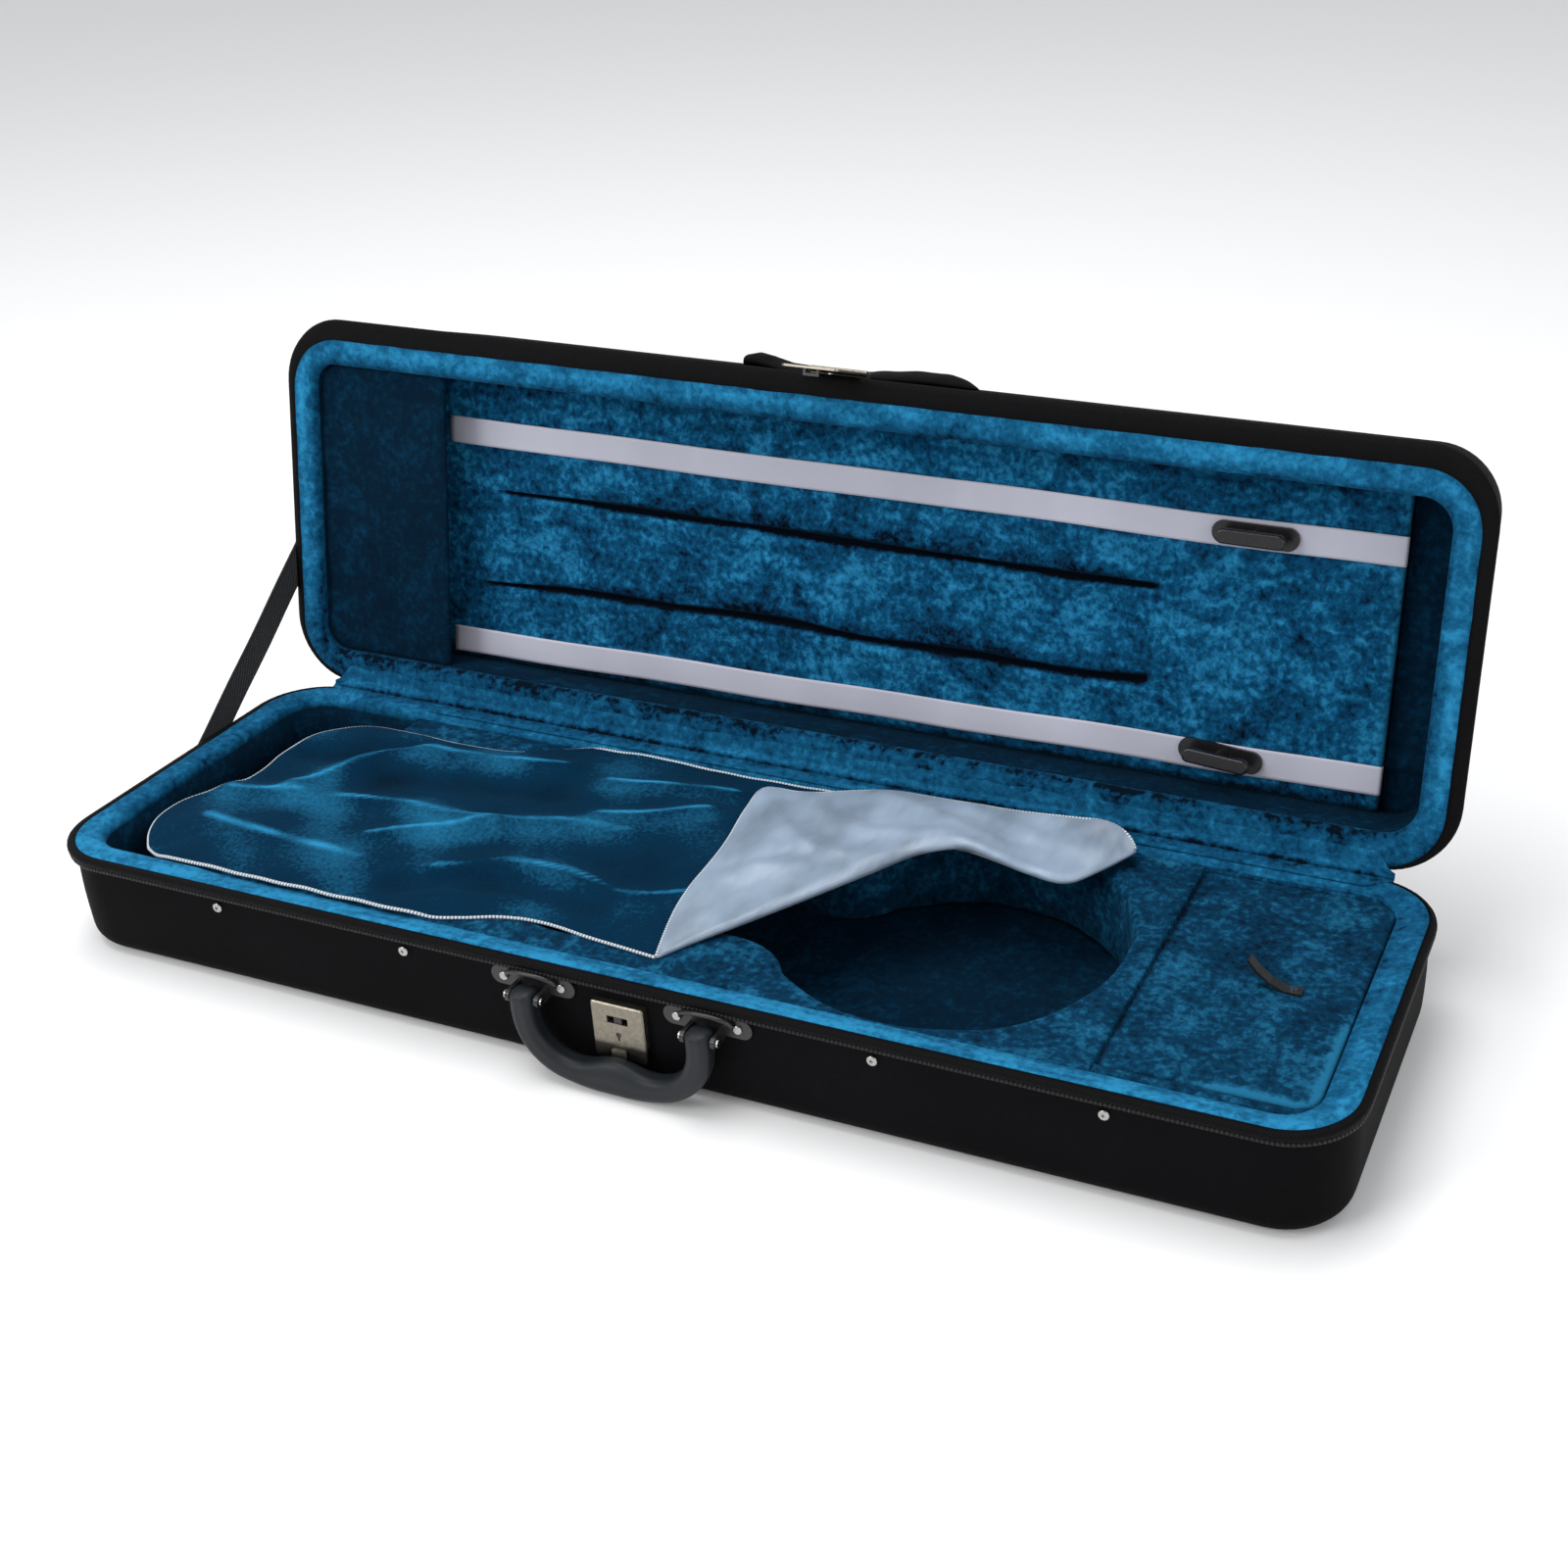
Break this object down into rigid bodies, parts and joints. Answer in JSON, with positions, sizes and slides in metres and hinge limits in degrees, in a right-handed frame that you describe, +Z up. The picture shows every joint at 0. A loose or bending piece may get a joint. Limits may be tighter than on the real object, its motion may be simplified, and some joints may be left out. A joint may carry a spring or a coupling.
{
  "type": "violin case",
  "caption": "Oblong hard-foam violin case, lid open: plush violin bed with blanket, accessory box with lid, bow ribbons and clips, handle, lock and hasp, stay strap.",
  "frame": {"origin": "centre of the base's flat underside, between the welting's ends and its front and back edges", "axes": "+X along the case to the accessory box, +Y to the hinges, +Z up with the case lying open on its underside"},
  "size_m": [0.8159, 0.3681, 0.3331],
  "materials": {
    "cover_nylon": "woven, matt",
    "welting": "tight cord, slight sheen",
    "plush": "crushed velvet plush",
    "blanket_velvet": "short velvet, satin backed",
    "ribbon_satin": "satin ribbon",
    "webbing": "woven webbing",
    "clip_plastic": "smooth",
    "handle_rubber": "soft satin",
    "bracket_black": "semi-gloss",
    "nickel": "plated",
    "lock_metal": "warm satin plate",
    "spring_steel": "plain",
    "tab_leather": "smooth"
  },
  "bodies": {
    "base": {"base_shell": "cover_nylon", "base_welting": "welting", "base_rim_lining": "plush", "bed_front_pad": "plush", "bed_back_pad": "plush", "bed_floor_pad": "plush", "scroll_well_pad": "plush", "neck_cradle": "plush", "neck_straps": "webbing", "accessory_box": "plush", "hinge_leaves_base": "nickel", "hinge_pins": "nickel", "hinge_screws_base": "nickel", "handle_brackets": "bracket_black", "handle_bracket_rivets": "nickel", "lock_case": "lock_metal", "lock_spring": "spring_steel", "front_studs": "nickel", "strap_anchor_base": "webbing", "strap_rivet_base": "nickel", "stay_strap": "webbing", "blanket": "blanket_velvet"},
    "lid": {"lid_shell": "cover_nylon", "lid_welting": "welting", "lid_rim_lining": "plush", "lid_pad": "plush", "lid_end_lining": "plush", "bow_tip_pocket": "plush", "bow_ribbon_upper": "ribbon_satin", "bow_ribbon_lower": "ribbon_satin", "bow_clip_bases": "clip_plastic", "hinge_leaves_lid": "nickel", "hinge_screws_lid": "nickel", "hasp_leaf": "nickel", "hasp_pin": "nickel", "hasp_rivets": "nickel", "lock_flap": "cover_nylon", "strap_anchor_lid": "webbing", "strap_rivet_lid": "nickel"},
    "handle": {"handle_grip": "handle_rubber", "handle_pins": "nickel"},
    "lock_slide": {"lock_slide": "lock_metal", "lock_bolt": "lock_metal"},
    "accessory_lid": {"accessory_lid": "plush", "pull_tab": "tab_leather", "pull_tab_rivet": "nickel"},
    "bow_clip_upper": {"bow_clip_upper": "clip_plastic"},
    "bow_clip_lower": {"bow_clip_lower": "clip_plastic"},
    "hasp": {"hasp_plate": "nickel", "hasp_staple": "nickel"}
  },
  "joints": [
    {"name": "lid_hinge", "type": "hinge", "parent": "base", "child": "lid", "pos_m": [0, 0.1257, 0.0704], "axis": [-1, 0, 0], "range_deg": [-101, 0], "deforming": ["stay_strap"]},
    {"name": "handle_swing", "type": "hinge", "parent": "base", "child": "handle", "pos_m": [0, -0.134, 0.051], "axis": [-1, 0, 0], "range_deg": [0, 150]},
    {"name": "lock_slide_travel", "type": "slide", "parent": "base", "child": "lock_slide", "axis": [0, 0, -1], "range_m": [0, 0.003], "stiffness_N_per_m": 300, "springref_m": -0.002, "deforming": ["lock_spring"]},
    {"name": "accessory_lid_hinge", "type": "hinge", "parent": "base", "child": "accessory_lid", "pos_m": [0.266, 0, 0.066], "axis": [0, -1, 0], "range_deg": [0, 100]},
    {"name": "bow_clip_upper_turn", "type": "hinge", "parent": "lid", "child": "bow_clip_upper", "pos_m": [0.264, 0.1798, 0.246], "axis": [0, 0.9816, -0.1908], "range_deg": [0, 90]},
    {"name": "bow_clip_lower_turn", "type": "hinge", "parent": "lid", "child": "bow_clip_lower", "pos_m": [0.255, 0.15347, 0.11054], "axis": [0, 0.9816, -0.1908], "range_deg": [0, 90]},
    {"name": "hasp_swing", "type": "hinge", "parent": "lid", "child": "hasp", "pos_m": [0, 0.18765, 0.31783], "axis": [-1, 0, 0], "range_deg": [-9, 90]}
  ]
}
